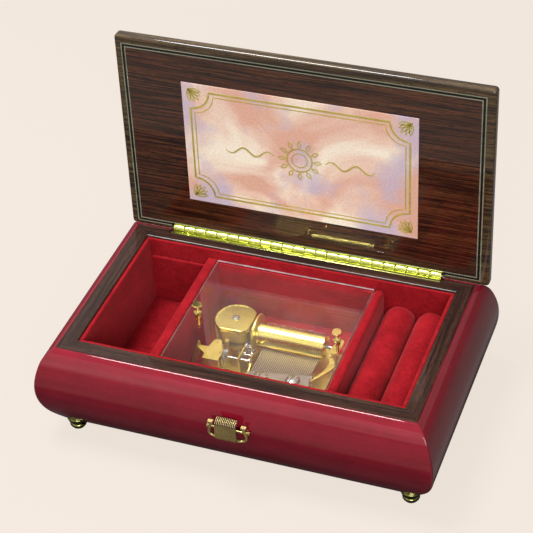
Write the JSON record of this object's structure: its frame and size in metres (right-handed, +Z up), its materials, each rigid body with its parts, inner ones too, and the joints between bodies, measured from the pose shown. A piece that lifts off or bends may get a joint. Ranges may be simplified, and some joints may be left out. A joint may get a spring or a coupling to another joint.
{
  "type": "music box",
  "caption": "Jewellery music box: bombe lacquered case on brass feet, hinged lid, velvet tray and ring rolls, and a comb movement under a clear lift-off cover.",
  "frame": {"origin": "on the table, under the middle of the open box's outline, 2 mm in front of the middle of the case and its four feet", "axes": "+X to the right along the case, +Y to the back towards the hinge, +Z up"},
  "size_m": [0.2212, 0.1423, 0.1803],
  "materials": {
    "lacquered_wood": "high gloss lacquer",
    "walnut_rim": "high gloss lacquer",
    "walnut_lid": "high gloss lacquer",
    "lid_field": "high gloss veneer",
    "lid_stringing": "gloss inlay",
    "base_board": "plain board",
    "velvet": "pile",
    "polished_brass": "polished",
    "gold_plate": "polished",
    "steel": "ground",
    "clear_acrylic": "polished",
    "clear_plastic": "translucent",
    "card": "satin"
  },
  "bodies": {
    "case": {"front_wall": "lacquered_wood", "back_wall": "lacquered_wood", "left_wall": "lacquered_wood", "right_wall": "lacquered_wood", "rim_rails": "walnut_rim", "base_panel": "base_board", "base_screws": "steel", "feet": "polished_brass", "front_lining": "velvet", "back_lining": "velvet", "side_linings": "velvet", "floor_lining": "velvet", "left_divider": "velvet", "right_divider": "velvet", "ledge_pad": "velvet", "cover_cleats": "velvet", "ring_roll_left": "velvet", "ring_roll_right": "velvet", "hinge_case_leaf": "polished_brass", "case_nails": "polished_brass", "hinge_pin": "polished_brass", "bedplate": "gold_plate", "spring_housing": "gold_plate", "spring_cover": "gold_plate", "mainspring": "steel", "left_bearing_plate": "gold_plate", "right_bearing_bracket": "gold_plate", "comb": "steel", "comb_block": "gold_plate", "movement_screws": "steel", "governor_plates": "gold_plate", "governor_bridge": "gold_plate", "stop_post": "gold_plate"},
    "lid": {"lid_panel": "walnut_lid", "lid_inlay": "lid_stringing", "lid_veneer": "lid_field", "title_card": "card", "hinge_lid_leaf": "polished_brass", "lid_nails": "polished_brass"},
    "cover": {"acrylic_cover": "clear_acrylic", "cover_knobs": "gold_plate"},
    "cylinder": {"cylinder": "gold_plate", "cylinder_pins": "steel", "cylinder_arbor": "steel", "cylinder_gear": "gold_plate", "drive_pinion": "gold_plate"},
    "great_wheel": {"great_wheel": "gold_plate"},
    "first_arbor": {"first_arbor": "steel"},
    "middle_arbor": {"middle_arbor": "steel"},
    "second_arbor": {"second_arbor": "steel", "worm_wheel": "clear_plastic"},
    "fan": {"worm_spindle": "steel", "air_fan": "gold_plate"},
    "switch": {"switch_knob": "gold_plate", "switch_stem": "steel", "switch_arms": "gold_plate", "stop_slide": "steel"},
    "stop_lever": {"stop_lever": "gold_plate"},
    "key": {"winding_key": "steel", "winding_arbor": "steel"}
  },
  "joints": [
    {"name": "lid_hinge", "type": "hinge", "parent": "case", "child": "lid", "pos_m": [0.001, 0.0601, 0.0589], "axis": [-1, 0, 0], "range_deg": [-92, 0]},
    {"name": "cover_lift", "type": "slide", "parent": "case", "child": "cover", "axis": [0, 0, 1], "range_m": [0, 0.04]},
    {"name": "cylinder_spin", "type": "hinge", "parent": "case", "child": "cylinder", "pos_m": [0.008, 0.0141, 0.0322], "axis": [1, 0, 0], "continuous": true},
    {"name": "great_wheel_spin", "type": "hinge", "parent": "case", "child": "great_wheel", "pos_m": [-0.0239, 0.0141, 0.0285], "axis": [0, 0, 1], "continuous": true},
    {"name": "first_arbor_spin", "type": "hinge", "parent": "case", "child": "first_arbor", "pos_m": [-0.014, 0.00598, 0.02831], "axis": [1, 0, 0], "continuous": true},
    {"name": "middle_arbor_spin", "type": "hinge", "parent": "case", "child": "middle_arbor", "pos_m": [-0.012, 0.00107, 0.02695], "axis": [1, 0, 0], "continuous": true},
    {"name": "second_arbor_spin", "type": "hinge", "parent": "case", "child": "second_arbor", "pos_m": [-0.016, -0.004, 0.0275], "axis": [1, 0, 0], "continuous": true},
    {"name": "fan_spin", "type": "hinge", "parent": "case", "child": "fan", "pos_m": [-0.0249, -0.00894, 0.026], "axis": [0, 0, 1], "continuous": true},
    {"name": "play_switch", "type": "slide", "parent": "case", "child": "switch", "axis": [1, 0, 0], "range_m": [0, 0.005]},
    {"name": "stop_lever_swing", "type": "hinge", "parent": "case", "child": "stop_lever", "pos_m": [0.0336, 0.0054, 0.0333], "axis": [0, 0, 1], "range_deg": [0, 13]},
    {"name": "winding_key_turn", "type": "hinge", "parent": "case", "child": "key", "pos_m": [-0.0239, 0.0141, 0.02], "axis": [0, 0, 1], "continuous": true}
  ],
  "couplings": [
    {"joint": "great_wheel_spin", "follows": "cylinder_spin", "ratio": 0.41176},
    {"joint": "first_arbor_spin", "follows": "cylinder_spin", "ratio": -4},
    {"joint": "middle_arbor_spin", "follows": "cylinder_spin", "ratio": 9.6},
    {"joint": "second_arbor_spin", "follows": "cylinder_spin", "ratio": -23.04},
    {"joint": "fan_spin", "follows": "cylinder_spin", "ratio": 184.32},
    {"joint": "stop_lever_swing", "follows": "play_switch", "rad_per_m": 45}
  ]
}
